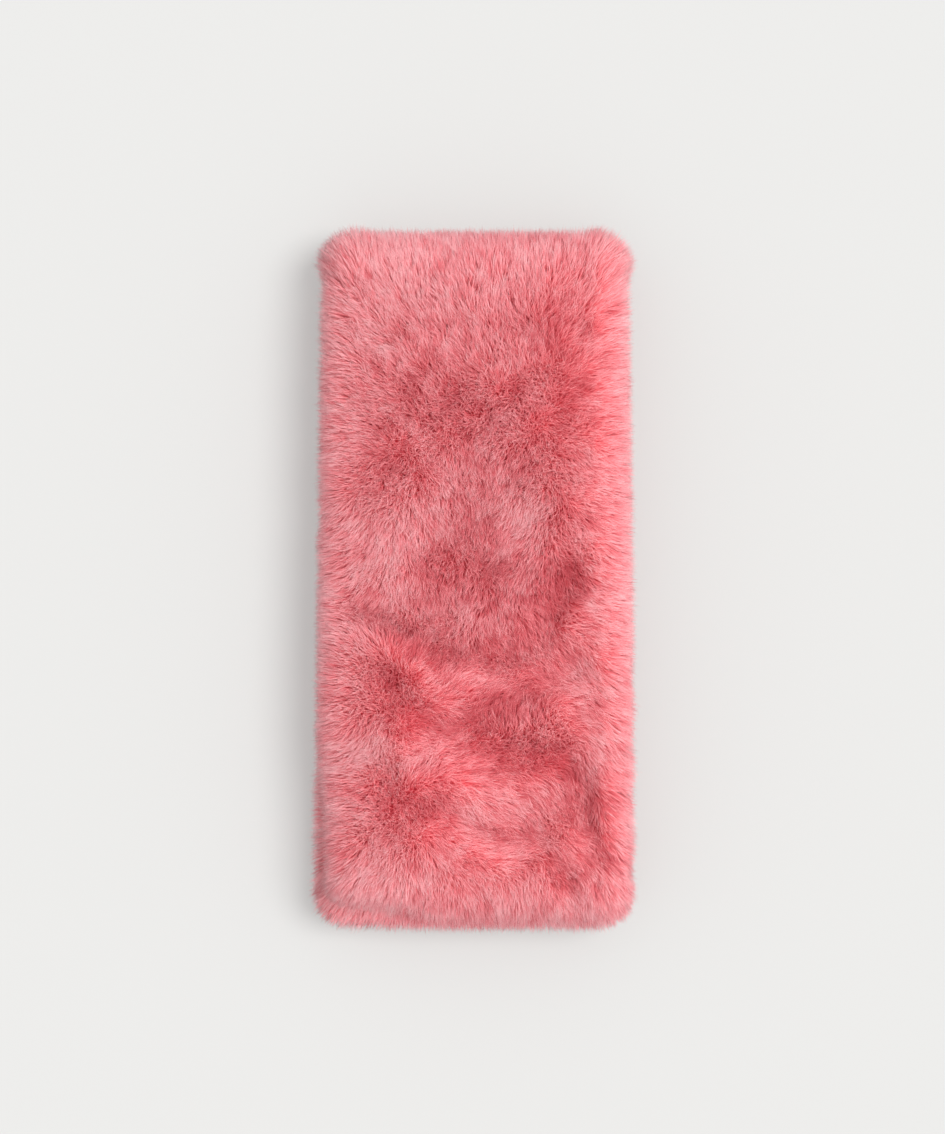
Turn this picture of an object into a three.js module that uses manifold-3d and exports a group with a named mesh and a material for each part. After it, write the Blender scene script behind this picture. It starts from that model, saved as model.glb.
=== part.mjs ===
// Plush spa headband: a closed loop of faux fur, laid flat in two layers.
// Units are millimetres and +Z is up. X runs across the band and Y along the flattened loop.
// The origin is the middle of the underside that the band lies on.

import * as THREE from 'three';
import { mergeVertices } from 'three/addons/utils/BufferGeometryUtils.js';
import Module from 'manifold-3d';

const wasm = await Module();
wasm.setup();

// ---- Driving dimensions -----------------------------------------------------------------------

const LOOP_LENGTH = 234;        // flattened loop over the pile, along Y
const BAND_WIDTH = 104;         // band over the pile, along X
const SLOT_HEIGHT = 7;          // head opening left between the two linings
const LINING_THICKNESS = 1.2;
const WADDING_THICKNESS = 4;
const PILE_THICKNESS = 9;       // fur panel over the wadding
const SIDE_PILE = 9;            // fur panel round the band's long edges
const EDGE_ROUND = 8.5;         // rounding of the fur at the long edges

const THREAD_WIDTH = 0.9;       // edge seam thread, square section
const JOIN_THREAD_RADIUS = 0.5; // cross seam thread at each fold
const JOIN_THREAD_DEPTH = 1.6;  // how far the cross seam lies inside the fur's inner face

const JOIN_TAPE_THICKNESS = 0.9;
const JOIN_TAPE_SETBACK = 2.5;  // from the lining's long edge to the tape's edge
const JOIN_TAPE_LAP = 6;        // how far the tape runs past the fold onto the flat linings

const ELASTIC_WIDTH = 30;
const ELASTIC_THICKNESS = 1;
const ELASTIC_SETBACK = 14;     // from each fold's centre to the elastic's end
const TACK_LENGTH = 24;         // bar tack, along X
const TACK_WIDTH = 2;           // bar tack, along Y
const TACK_INSET = 6;           // from the elastic's end to the middle of its tack

const LABEL_LENGTH = 32;        // along X, from the seam inwards
const LABEL_WIDTH = 18;
const LABEL_THICKNESS = 0.6;
const LABEL_SETBACK = 46;       // from the near fold's centre to the middle of the label

const FIT_GAP = 0.3;            // between pieces that touch
const SPLIT_GAP = 0.6;          // between the front and back sections at the folds

const ARC_SEGMENTS = 7;         // half of the facets round each fold
const BEVEL_SEGMENTS = 4;
const BAR_SEGMENTS = 12;

// ---- Dimensions that follow -------------------------------------------------------------------

// Radii of the layers round each fold, from the slot outwards.
const liningInner = SLOT_HEIGHT / 2;
const liningOuter = liningInner + LINING_THICKNESS;
const waddingInner = liningOuter + FIT_GAP;
const waddingOuter = waddingInner + WADDING_THICKNESS;
const furInner = waddingOuter + FIT_GAP;
const furOuter = furInner + PILE_THICKNESS;

const tapeOuter = liningInner - FIT_GAP;
const tapeInner = tapeOuter - JOIN_TAPE_THICKNESS;

const foldPlace = LOOP_LENGTH / 2 - furOuter;       // Y of each fold's centre
const coreWidth = BAND_WIDTH - 2 * SIDE_PILE;       // hollow of the fur panels
const waddingWidth = coreWidth - 2 * FIT_GAP;
const threadPlace = coreWidth / 2 - FIT_GAP - THREAD_WIDTH / 2;
const liningWidth = 2 * (threadPlace - THREAD_WIDTH / 2 - FIT_GAP);
const joinTapeWidth = liningWidth - 2 * JOIN_TAPE_SETBACK;

const joinThreadPlace = foldPlace + furInner + JOIN_THREAD_DEPTH;
const joinThreadLength = coreWidth;

const elasticTop = -(liningOuter + 2 * FIT_GAP);
const elasticMiddle = elasticTop - ELASTIC_THICKNESS / 2;
const elasticLength = 2 * (foldPlace - ELASTIC_SETBACK);
const tackPlace = elasticLength / 2 - TACK_INSET;

const labelMiddle = -(liningInner - FIT_GAP - LABEL_THICKNESS / 2);
const labelPlace = -(foldPlace - LABEL_SETBACK);

// ---- Materials --------------------------------------------------------------------------------

const cloth = (color, roughness = 0.9) => new THREE.MeshStandardMaterial({ color, roughness, metalness: 0 });

const furMaterial = () => cloth(0xe27f87, 0.95);
const liningMaterial = () => cloth(0xe9a3a8);
const waddingMaterial = () => cloth(0xf4f1ea);
const threadMaterial = () => cloth(0xd5747d, 0.6);
const elasticMaterial = () => cloth(0xf0eeee, 0.7);
const tapeMaterial = () => cloth(0xdf8b92);
const labelMaterial = () => cloth(0xf7f5f2, 0.6);

// ---- Solids -----------------------------------------------------------------------------------

// Turns a closed geometry into a solid that can be joined and cut.
function solid(geometry) {
  const bare = geometry.index ? geometry.toNonIndexed() : geometry.clone();
  bare.deleteAttribute('normal');
  bare.deleteAttribute('uv');
  const welded = mergeVertices(bare, 1e-5);
  return new wasm.Manifold(new wasm.Mesh({
    numProp: 3,
    vertProperties: new Float32Array(welded.attributes.position.array),
    triVerts: new Uint32Array(welded.index.array),
  }));
}

// Turns a solid back into a named mesh.
function piece(name, shape, material) {
  const { vertProperties, triVerts } = shape.getMesh();
  const geometry = new THREE.BufferGeometry();
  geometry.setAttribute('position', new THREE.BufferAttribute(vertProperties, 3));
  geometry.setIndex(new THREE.BufferAttribute(triVerts, 1));
  geometry.computeVertexNormals();
  const mesh = new THREE.Mesh(geometry, material);
  mesh.name = name;
  return mesh;
}

// A box given by its size and its middle.
function block(width, length, height, x, y, z) {
  return solid(new THREE.BoxGeometry(width, length, height).translate(x, y, z));
}

// A bar across the band with a round section.
function crossBar(radius, length, y) {
  const bar = new THREE.CylinderGeometry(radius, radius, length, BAR_SEGMENTS);
  return solid(bar.rotateZ(Math.PI / 2).translate(0, y, 0));
}

// A flattened roll whose outline goes round both folds at the given radius.
// Its ends are rounded by `round`, so that the outline swells from radius - round to radius.
function roll(radius, width, round = 0) {
  const outline = new THREE.Shape();
  const core = radius - round;
  outline.absarc(foldPlace, 0, core, -Math.PI / 2, Math.PI / 2);
  outline.absarc(-foldPlace, 0, core, Math.PI / 2, 3 * Math.PI / 2);
  outline.closePath();
  const geometry = new THREE.ExtrudeGeometry(outline, {
    depth: width - 2 * round,
    curveSegments: ARC_SEGMENTS,
    bevelEnabled: round > 0,
    bevelSize: round,
    bevelThickness: round,
    bevelSegments: BEVEL_SEGMENTS,
  });
  geometry.translate(0, 0, -(width - 2 * round) / 2);
  const axes = new THREE.Matrix4().makeBasis(
    new THREE.Vector3(0, 1, 0),
    new THREE.Vector3(0, 0, 1),
    new THREE.Vector3(1, 0, 0),
  );
  return solid(geometry.applyMatrix4(axes));
}

// One layer of the loop: a strip of the given width between two radii.
function layer(inner, outer, width) {
  return roll(outer, width).subtract(roll(inner, width + 2 * FIT_GAP));
}

// Keeps the part of a solid above (side = 1) or below (side = -1) the middle of the slot.
function half(shape, side) {
  const reach = 2 * (LOOP_LENGTH + BAND_WIDTH);
  return shape.intersect(block(reach, reach, reach, 0, 0, side * (reach + SPLIT_GAP) / 2));
}

// ---- Sub-parts --------------------------------------------------------------------------------

const ends = [['far', 1], ['near', -1]];
const sections = [['front', 1], ['back', -1]];
const edges = [['left', -1], ['right', 1]];

// The fur panel: outer pile, turned in round the long edges as far as the lining.
function furPanel(side) {
  const hollow = roll(furInner, coreWidth);
  const slot = roll(liningInner, BAND_WIDTH + 2 * FIT_GAP);
  let cover = roll(furOuter, BAND_WIDTH, EDGE_ROUND).subtract(hollow).subtract(slot);
  for (const [, end] of ends) {
    const groove = [JOIN_THREAD_RADIUS + FIT_GAP, joinThreadLength + 2 * FIT_GAP, end * joinThreadPlace];
    cover = cover.subtract(crossBar(...groove));
  }
  return half(cover, side);
}

function lining(side) {
  return half(layer(liningInner, liningOuter, liningWidth), side);
}

// An edge seam thread lies in the groove between the lining's edge and the turned-in fur.
function seamThread(side, edge) {
  const ring = layer(liningInner, liningInner + THREAD_WIDTH, THREAD_WIDTH);
  return half(ring.translate([edge * threadPlace, 0, 0]), side);
}

// A slot or bar at one end of the elastic, from the lining's back to the fur's inner face.
function tackBar(end, clearance) {
  const top = waddingInner - FIT_GAP / 2;
  const height = waddingOuter - top;
  const middle = -(top + height / 2);
  const spread = 2 * clearance;
  return block(TACK_LENGTH + spread, TACK_WIDTH + spread, height + spread, 0, end * tackPlace, middle);
}

function elastic() {
  const strip = block(ELASTIC_WIDTH, elasticLength, ELASTIC_THICKNESS, 0, 0, elasticMiddle);
  return ends.reduce((shape, [, end]) => shape.subtract(tackBar(end, FIT_GAP)), strip);
}

function frontWadding() {
  return half(layer(waddingInner, waddingOuter, waddingWidth), 1);
}

// The back wadding has a shallow channel for the elastic and a slot for each tack.
function backWadding() {
  const channel = block(
    ELASTIC_WIDTH + 2 * FIT_GAP,
    elasticLength + 2 * FIT_GAP,
    ELASTIC_THICKNESS + 4 * FIT_GAP,
    0,
    0,
    elasticMiddle + FIT_GAP,
  );
  const strip = half(layer(waddingInner, waddingOuter, waddingWidth), -1).subtract(channel);
  return ends.reduce((shape, [, end]) => shape.subtract(tackBar(end, FIT_GAP)), strip);
}

// A join tape hugs the inside of one fold and laps a little way over the flat linings.
function joinTape(end) {
  const reach = LOOP_LENGTH;
  const keep = foldPlace - JOIN_TAPE_LAP;
  const window = block(reach, reach, reach, 0, end * (keep + reach / 2), 0);
  return layer(tapeInner, tapeOuter, joinTapeWidth).intersect(window);
}

function careLabel() {
  const x = liningWidth / 2 - LABEL_LENGTH / 2;
  return block(LABEL_LENGTH, LABEL_WIDTH, LABEL_THICKNESS, x, labelPlace, labelMiddle);
}

// ---- Assembly ---------------------------------------------------------------------------------

const loop = new THREE.Group();
loop.position.z = furOuter;

for (const [section, side] of sections) {
  loop.add(piece(`${section}_fur_panel`, furPanel(side), furMaterial()));
  loop.add(piece(`${section}_lining`, lining(side), liningMaterial()));
  for (const [edgeName, edge] of edges) {
    loop.add(piece(`${section}_${edgeName}_seam_thread`, seamThread(side, edge), threadMaterial()));
  }
}

loop.add(piece('front_wadding', frontWadding(), waddingMaterial()));
loop.add(piece('back_wadding', backWadding(), waddingMaterial()));
loop.add(piece('elastic_band', elastic(), elasticMaterial()));
loop.add(piece('care_label', careLabel(), labelMaterial()));

for (const [endName, end] of ends) {
  const joinThread = crossBar(JOIN_THREAD_RADIUS, joinThreadLength, end * joinThreadPlace);
  loop.add(piece(`${endName}_elastic_tack`, tackBar(end, 0), threadMaterial()));
  loop.add(piece(`${endName}_join_thread`, joinThread, threadMaterial()));
  loop.add(piece(`${endName}_join_tape`, joinTape(end), tapeMaterial()));
}

const headband = new THREE.Group();
headband.add(loop);

export default headband;
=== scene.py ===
"""A plush spa headband that lies flat in two layers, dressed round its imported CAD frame.

The pile is real geometry: tapered fibres in wisps, rooted on a soft backing and combed by guides.
All sizes are in metres, in the frame's own axes: +X across the band, +Y along the loop, +Z up.
"""

import math

import bpy
import numpy as np
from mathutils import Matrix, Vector


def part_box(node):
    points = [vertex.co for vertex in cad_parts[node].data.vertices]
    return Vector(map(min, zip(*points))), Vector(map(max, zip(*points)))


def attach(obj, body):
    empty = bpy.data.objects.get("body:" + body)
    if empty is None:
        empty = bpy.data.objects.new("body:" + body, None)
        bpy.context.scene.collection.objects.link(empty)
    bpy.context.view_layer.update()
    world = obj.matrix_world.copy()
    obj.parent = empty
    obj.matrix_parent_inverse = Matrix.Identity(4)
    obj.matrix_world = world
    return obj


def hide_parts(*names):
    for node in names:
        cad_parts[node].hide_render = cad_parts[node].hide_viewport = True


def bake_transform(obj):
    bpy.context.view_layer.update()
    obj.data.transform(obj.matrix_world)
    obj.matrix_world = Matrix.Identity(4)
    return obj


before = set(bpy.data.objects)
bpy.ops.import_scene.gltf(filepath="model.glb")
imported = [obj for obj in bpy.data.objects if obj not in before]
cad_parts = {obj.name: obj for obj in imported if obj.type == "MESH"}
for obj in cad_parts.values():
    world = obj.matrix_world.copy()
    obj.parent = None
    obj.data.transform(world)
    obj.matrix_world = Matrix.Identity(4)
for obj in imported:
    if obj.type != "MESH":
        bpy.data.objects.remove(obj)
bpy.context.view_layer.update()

MM = 0.001
FRONT, BACK = "front_section", "back_section"

# ---- Sizes read from the frame ----

front_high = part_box("front_fur_panel")[1]
back_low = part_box("back_fur_panel")[0]
HALF_WIDTH = front_high.x
HALF_LENGTH = front_high.y
MIDDLE = (back_low.z + front_high.z) / 2
FUR_RADIUS = front_high.z - MIDDLE
WADDING_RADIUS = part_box("front_wadding")[1].z - MIDDLE
LINING_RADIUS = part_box("front_lining")[1].z - MIDDLE
LINING_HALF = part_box("front_lining")[1].x
TAPE_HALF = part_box("far_join_tape")[1].x
TAPE_LAP = 6 * MM
FOLD = HALF_LENGTH - FUR_RADIUS

# ---- Sizes of the soft pieces, in metres unless said ----

PILE_DEPTH = 6.4 * MM         # from the backing's outer face to the CAD fur's outer face
SIDE_DEPTH = 5.8 * MM         # the same at the long edges
BACKING_RADIUS = FUR_RADIUS - PILE_DEPTH
BACKING_HALF = HALF_WIDTH - SIDE_DEPTH
EDGE_ROUND = 5 * MM
LIP_RADIUS = 4.1 * MM         # where the backing turns in at the slot
LIP_ROUND = 1.6 * MM
LIP_HALF = LINING_HALF + 1.2 * MM

FIBRE_LENGTH = 8.9 * MM
FIBRE_WIDTH = 0.165 * MM
WISP_SIZE = 0.7 * MM
LOCK_SIZE = 3.2 * MM
TOP_DENSITY = 7.0             # fibres in a square millimetre
UNDER_DENSITY = 1.5
BARE_LIP = 2.8 * MM           # width along the slot's lips where no fibre is rooted
BARE_FOLD = 2.2 * MM          # how much wider that is at the middle of a fold
MOST_FIBRES = 12_400          # in one piece, so that a piece stays under 200,000 triangles
FLOOR_GAP = 0.5 * MM

TAPER = 0.030                 # how much wider the near end lies than the middle
UPPER_DRAW = 3.0 * MM         # how far the upper layer is drawn in at its near left corner
NEAR_DRAW = 2.0 * MM          # how far the upper layer is drawn in along the near fold
CORNER_DRAW = 4.5 * MM        # how much further that goes towards its left corner
LOWER_SPREAD = 1.2 * MM       # how far the lower layer lies out at the near left corner
NEAR_REACH = 2.4 * MM         # how far the near fold reaches past the frame's own
FAR_REACH = 0.6 * MM          # the same at the far fold
NEAR_PART = (0.045, 0.085)    # how far towards the near end that corner begins and is complete
LEFT_PART = (0.018, 0.044)    # the same towards the left
DRAW_PART = (0.095, 0.112)    # how far towards the near end the near fold's draw begins and is complete
CORNER_PART = (0.010, 0.034)  # how far towards the left the corner's draw begins and is complete
REACH_PART = (0.060, 0.092)   # how far from the middle the folds' reach begins and is complete

WAVE_HEIGHT = 0.5 * MM
OPEN_DEPTH = 0.4 * MM         # how far the open patches sink in
DEEPEST = 2.6 * MM            # how far the upper layer sinks in at most
INLAND = (0.008, 0.016)       # how far in from the long edges the relief begins and is complete

LINING_THICKNESS = 1.2 * MM
TAPE_RADII = (2.45 * MM, 3.15 * MM)
STITCH_PITCH = 3.0 * MM
STITCH_WIDTH = 0.55 * MM
TAPE_STITCH = (1.8 * MM, 0.4 * MM)     # length and width
LABEL_STITCH = (1.8 * MM, 0.35 * MM)

# Groom guides in millimetres and degrees: for each row's y, (x, heading, how flat the pile lies).
GROOM = [
    (115, [
        (-50, 125, 0.85), (-38, 105, 0.9), (-22, 95, 0.9), (-5, 92, 0.9), (12, 90, 0.9), (29, 82, 0.9),
        (43, 62, 0.9), (50, 45, 0.9),
    ]),
    (102, [
        (-48, 140, 0.85), (-39, 120, 0.85), (-31, 108, 0.85), (-19, 108, 0.85), (-5, 100, 0.8),
        (9, 96, 0.8), (24, 88, 0.75), (36, 72, 0.85), (47, 35, 0.9),
    ]),
    (88, [
        (-50, 160, 0.85), (-42, 142, 0.9), (-32, 126, 0.85), (-20, 124, 0.85), (-7, 116, 0.8),
        (9, 106, 0.7), (24, 86, 0.6), (38, 50, 0.85), (49, 10, 0.9),
    ]),
    (72, [
        (-50, 170, 0.85), (-41, 155, 0.9), (-31, 140, 0.6), (-19, 125, 0.45), (-7, 118, 0.8),
        (9, 115, 0.5), (24, 90, 0.3), (39, 20, 0.8), (49, 0, 0.9),
    ]),
    (56, [
        (-50, 175, 0.85), (-40, 165, 0.9), (-26, 150, 0.35), (-12, 150, 0.3), (0, 240, 0.35),
        (12, 200, 0.3), (24, 0, 0.15), (34, 5, 0.6), (47, 0, 0.9),
    ]),
    (40, [
        (-50, 183, 0.85), (-41, 190, 0.9), (-27, 200, 0.2), (-15, 300, 0.45), (-3, 290, 0.5),
        (9, 245, 0.5), (21, 250, 0.4), (33, 325, 0.8), (47, 355, 0.9),
    ]),
    (23, [
        (-50, 200, 0.85), (-42, 220, 0.9), (-33, 252, 0.9), (-24, 280, 0.85), (-14, 300, 0.6),
        (-2, 285, 0.6), (12, 235, 0.85), (24, 230, 0.6), (36, 320, 0.85), (47, 355, 0.9),
    ]),
    (7, [
        (-50, 185, 0.85), (-41, 215, 0.85), (-29, 262, 0.9), (-19, 275, 0.6), (-8, 280, 0.2),
        (2, 250, 0.3), (16, 240, 0.7), (26, 245, 0.6), (38, 325, 0.8), (48, 352, 0.9),
    ]),
    (-9, [
        (-50, 182, 0.85), (-43, 200, 0.8), (-29, 275, 0.7), (-15, 265, 0.5), (-2, 262, 0.45),
        (12, 262, 0.45), (24, 300, 0.5), (36, 345, 0.8), (48, 348, 0.9),
    ]),
    (-23, [
        (-50, 178, 0.85), (-43, 150, 0.9), (-34, 108, 0.95), (-27, 85, 0.9), (-19, 62, 0.85),
        (-2, 270, 0.4), (16, 290, 0.6), (29, 300, 0.75), (40, 340, 0.9), (49, 335, 0.9),
    ]),
    (-37, [
        (-50, 182, 0.85), (-43, 178, 0.85), (-28, 60, 0.2), (-14, 28, 0.8), (-2, 35, 0.85),
        (12, 45, 0.9), (24, 350, 0.6), (40, 328, 0.9), (49, 325, 0.9),
    ]),
    (-51, [
        (-50, 190, 0.85), (-42, 212, 0.85), (-33, 255, 0.85), (-20, 340, 0.75), (-7, 350, 0.5),
        (7, 110, 0.7), (19, 118, 0.9), (26, 60, 0.7), (40, 315, 0.9), (50, 318, 0.9),
    ]),
    (-66, [
        (-49, 200, 0.85), (-42, 195, 0.8), (-27, 68, 0.9), (-19, 48, 0.9), (-8, 25, 0.85),
        (5, 348, 0.8), (19, 335, 0.7), (28, 318, 0.8), (38, 300, 0.9), (50, 315, 0.9),
    ]),
    (-79, [
        (-50, 215, 0.85), (-43, 172, 0.9), (-35, 150, 0.6), (-27, 200, 0.15), (-17, 345, 0.85),
        (-7, 322, 0.95), (9, 335, 0.9), (21, 322, 0.9), (34, 200, 0.6), (45, 312, 0.9), (51, 310, 0.9),
    ]),
    (-94, [
        (-50, 228, 0.9), (-43, 210, 0.9), (-35, 232, 0.9), (-24, 258, 0.85), (-14, 300, 0.85),
        (-3, 15, 0.85), (10, 22, 0.9), (24, 20, 0.4), (34, 325, 0.85), (44, 300, 0.85), (51, 305, 0.9),
    ]),
    (-107, [
        (-48, 235, 0.9), (-38, 240, 0.9), (-26, 255, 0.9), (-14, 280, 0.9), (0, 285, 0.9),
        (14, 280, 0.9), (24, 265, 0.8), (34, 298, 0.9), (45, 298, 0.9),
    ]),
    (-117, [
        (-36, 250, 0.9), (-19, 262, 0.9), (0, 268, 0.9), (19, 270, 0.9), (38, 288, 0.9),
        (49, 305, 0.9),
    ]),
]

# Creases in millimetres: a line of (x, y), its depth and its half width.
CREASES = [
    ([(-39, -9), (-31, -17), (-24, -22), (-12, -26), (4, -26), (16, -23), (21, -20)], 2.2, 5.6),
    ([(31, 2), (28, -6), (25, -13), (21, -20)], 2.3, 5.6),
    ([(-32, -35), (-25, -44), (-15, -49), (-3, -50), (9, -45), (20, -38), (29, -29)], 2.0, 6.4),
    ([(5, -61), (19, -60), (29, -62), (35, -71), (40, -81), (43, -95)], 2.2, 6.2),
    ([(-25, -77), (-15, -77), (-8, -80), (1, -85), (10, -89), (20, -88)], 1.8, 4.6),
    ([(26, -95), (29, -99), (31, -105)], 1.6, 4.0),
    ([(-30, -64), (-29, -70), (-31, -76)], 1.5, 4.0),
]

# Patches where the pile stands up and shows its dark roots: x, y, radius in millimetres, strength.
OPEN_PATCHES = [
    (-25, 62, 8, 0.7), (-2, 58, 7, 0.7), (14, 65, 5, 0.6), (24, 50, 10, 1.0), (14, 37, 5, 0.6),
    (-28, 38, 7, 0.9), (-37, 31, 3, 0.7), (-11, 8, 9, 0.8), (4, 4, 7, 0.6), (-23, -18, 5, 0.7),
    (-28, -38, 7, 0.7), (-20, -47, 7, 0.7), (-3, -49, 6, 0.5), (25, 78, 6, 0.6), (-27, -82, 9, 0.9),
    (-30, -69, 3, 0.6), (40, -87, 4, 0.7), (19, -61, 5, 0.7), (27, -5, 5, 0.9), (11, -85, 4, 0.5),
    (29, -99, 3, 0.7), (25, 105, 2, 1.0),
]

# Patches of painted shade and painted light, where the whole pile looks darker or paler: x, y, radius in
# millimetres, change of tone.
PAINTED_LIGHT_AND_SHADE = [
    (31, 64, 9, -0.38), (28, 85, 9, -0.34), (14, 62, 7, -0.18), (-9, 60, 12, -0.25),
    (-15, 85, 7, -0.18), (-30, 39, 7, -0.18), (15, 38, 7, -0.24), (2, 20, 8, -0.28),
    (-12, 2, 10, -0.30), (8, 0, 11, -0.33), (31, 0, 7, -0.36), (15, -18, 8, -0.15),
    (7, -41, 9, -0.35), (1, -58, 9, -0.25), (28, -60, 6, -0.20), (-14, -80, 6, -0.08),
    (30, -82, 6, -0.15), (-24, 105, 14, 0.30), (14, 106, 10, 0.12), (-32, 88, 9, 0.15),
    (-24, 21, 10, 0.30), (15, 22, 7, 0.42), (-31, 1, 9, 0.42), (-32, -20, 7, 0.34),
    (-29, -40, 6, 0.15), (-33, -60, 8, 0.52), (0, -80, 8, 0.32), (-30, -101, 9, 0.30),
    (12, -101, 9, 0.20), (-46, -20, 9, 0.10),
]


# ---- Small maths ----

def smooth(value, low, high):
    """0 below low, 1 above high, with an even turn between."""
    t = np.clip((value - low) / (high - low), 0, 1)
    return t * t * (3 - 2 * t)


def unit(v):
    return v / np.maximum(np.linalg.norm(v, axis=-1, keepdims=True), 1e-12)


def dot(a, b):
    return (a * b).sum(-1, keepdims=True)


def distance_to_line(x, y, line):
    """Distance in the plan from each point to a line of straight stretches."""
    best = np.full(np.shape(x), np.inf)
    for (ax, ay), (bx, by) in zip(line, line[1:]):
        dx, dy = bx - ax, by - ay
        t = np.clip(((x - ax) * dx + (y - ay) * dy) / (dx * dx + dy * dy), 0, 1)
        best = np.minimum(best, np.hypot(x - ax - t * dx, y - ay - t * dy))
    return best


# ---- The shape of the loop ----

STRAIGHT = 2 * FOLD
TURN = math.pi * BACKING_RADIUS
AROUND = 2 * (STRAIGHT + TURN)


def around(s):
    """For a distance s round the loop: the y of the nearest point of the slot, and the outward angle."""
    s = np.mod(s, AROUND)
    far = s - STRAIGHT
    under = far - TURN
    near = under - STRAIGHT
    before = [far < 0, under < 0, near < 0]
    y = np.select(before, [s - FOLD, FOLD, FOLD - under], -FOLD)
    far_angle = math.pi / 2 - far / BACKING_RADIUS
    near_angle = -math.pi / 2 - near / BACKING_RADIUS
    angle = np.select(before, [math.pi / 2, far_angle, -math.pi / 2], near_angle)
    return y, angle


def openness(x, y):
    """0 where the pile lies in order, up to 1 where it stands open over its roots."""
    found = np.zeros(np.shape(x))
    for px, py, radius, strength in OPEN_PATCHES:
        d = np.hypot(x / MM - px, y / MM - py) / radius
        found = np.maximum(found, strength * np.exp(-d * d * 1.2))
    return found


def shade(x, y):
    """The change of tone that the patches of painted shade and painted light make at each point."""
    found = np.zeros(np.shape(x))
    for px, py, radius, change in PAINTED_LIGHT_AND_SHADE:
        d = np.hypot(x / MM - px, y / MM - py) / radius
        found = found + change * np.exp(-d * d)
    return found


def creased(x, y):
    """How deep the creases are at each point, in metres."""
    found = np.zeros(np.shape(x))
    for line, depth, width in CREASES:
        d = distance_to_line(x / MM, y / MM, line) / width
        found = np.maximum(found, depth * np.exp(-d * d))
    return found * MM


def relief(x, y):
    """How far the upper layer stands above its even height: low waves, creases and open patches."""
    wave = np.sin(x / 0.021 + 0.7) * np.sin(y / 0.027 + 0.4) + 0.6 * np.sin(x / 0.013 - y / 0.019)
    return np.maximum(WAVE_HEIGHT * wave - creased(x, y) - OPEN_DEPTH * openness(x, y), -DEEPEST)


def lay(x, y, angle):
    """How the band lies on the table: wider at the near end, with the upper layer drawn in there."""
    upper = smooth(np.sin(angle), -0.15, 0.45)
    corner = smooth(-x, *LEFT_PART) * smooth(-y, *NEAR_PART)
    drawn = upper * smooth(-y, *DRAW_PART) * (NEAR_DRAW + CORNER_DRAW * smooth(-x, *CORNER_PART))
    reach = FAR_REACH * smooth(y, *REACH_PART) - NEAR_REACH * smooth(-y, *REACH_PART)
    x = x * (1 - TAPER * y / HALF_LENGTH) + corner * (UPPER_DRAW * upper - LOWER_SPREAD * (1 - upper))
    return x, y + drawn + reach


def place(s, x, radius, relieved=1.0):
    """The point of the loop at a distance s round it, x across it and a radius out from the slot.

    relieved is how much of the relief is taken in."""
    y, angle = around(s)
    up = np.sin(angle)
    flat_y = y + radius * np.cos(angle)
    z = MIDDLE + radius * up
    inland = smooth(HALF_WIDTH - np.abs(x), *INLAND)
    share = np.clip((radius - LIP_RADIUS) / (BACKING_RADIUS - LIP_RADIUS), 0, 1)
    z = z + relieved * relief(x, flat_y) * smooth(up, 0.35, 0.95) * inland * share
    lain_x, lain_y = lay(x, flat_y, angle)
    return np.stack([lain_x, lain_y, z], -1)


def arc(cx, cr, radius, start, stop, steps=6):
    turns = np.radians(np.linspace(start, stop, steps + 1))
    return [(cx + radius * math.cos(t), cr + radius * math.sin(t)) for t in turns]


def backing_outline():
    """The backing's outer face across the band, from lip to lip, as (x, radius)."""
    right = [(LIP_HALF, LIP_RADIUS)]
    right += arc(BACKING_HALF - LIP_ROUND, LIP_RADIUS + LIP_ROUND, LIP_ROUND, -90, 0)
    right += arc(BACKING_HALF - EDGE_ROUND, BACKING_RADIUS - EDGE_ROUND, EDGE_ROUND, 0, 90)
    left = [(-x, r) for x, r in right]
    return np.array(left + right[::-1])


OUTLINE = backing_outline()
OUTLINE_AT = np.concatenate([[0], np.cumsum(np.linalg.norm(np.diff(OUTLINE, axis=0), axis=1))])
ACROSS = OUTLINE_AT[-1]


def on_backing(s, q, relieved=1.0):
    """The point on the backing's outer face at s round the loop and q across it."""
    x, radius = (np.interp(q, OUTLINE_AT, OUTLINE[:, k]) for k in (0, 1))
    return place(s, x, radius, relieved)


def pile_normal(s, q, relieved):
    """The normal of the backing's outer face, with a share of the relief's slopes."""
    step = 0.6 * MM
    along = on_backing(s + step, q, relieved) - on_backing(s - step, q, relieved)
    low, high = np.clip(q - step, 0, ACROSS), np.clip(q + step, 0, ACROSS)
    across = on_backing(s, high, relieved) - on_backing(s, low, relieved)
    return unit(np.cross(across, along))


# ---- The groom ----

GUIDES = np.array([(x, y, turn, flat) for y, row in GROOM for x, turn, flat in row], float)
GUIDES[:, 3] = 0.22 + 0.78 * GUIDES[:, 3]
MAP_HALF = (64, 132)          # half the comb map's width and length, in millimetres
GUIDE_REACH = 10.0            # millimetres over which a guide hands over to its neighbours
PARTED, MEETING = 0.9, 0.3    # how much the pile stands up where locks part and where they meet
OPEN_STAND = 0.28             # how much it stands up in the open patches
CALMING = 6                   # how many times the map is smoothed
OUTWARD_LEAN = 0.95           # how flat the pile is combed outwards on the underside
SAG = 0.12                    # how far gravity draws the combing down
FULL_LEAN, MOST_LEAN = math.radians(80), math.radians(86)


def guided(x, y):
    """The guides' combing at points in millimetres: a plan direction, as long as the pile lies flat."""
    pull = np.radians(GUIDES[:, 2])
    way = np.stack([np.cos(pull), np.sin(pull)], -1) * GUIDES[:, 3:]
    d = np.hypot(x[..., None] - GUIDES[:, 0], y[..., None] - GUIDES[:, 1])
    weight = np.exp(-((d / GUIDE_REACH) ** 2)) + 1e-9
    return weight @ way / weight.sum(-1, keepdims=True)


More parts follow.
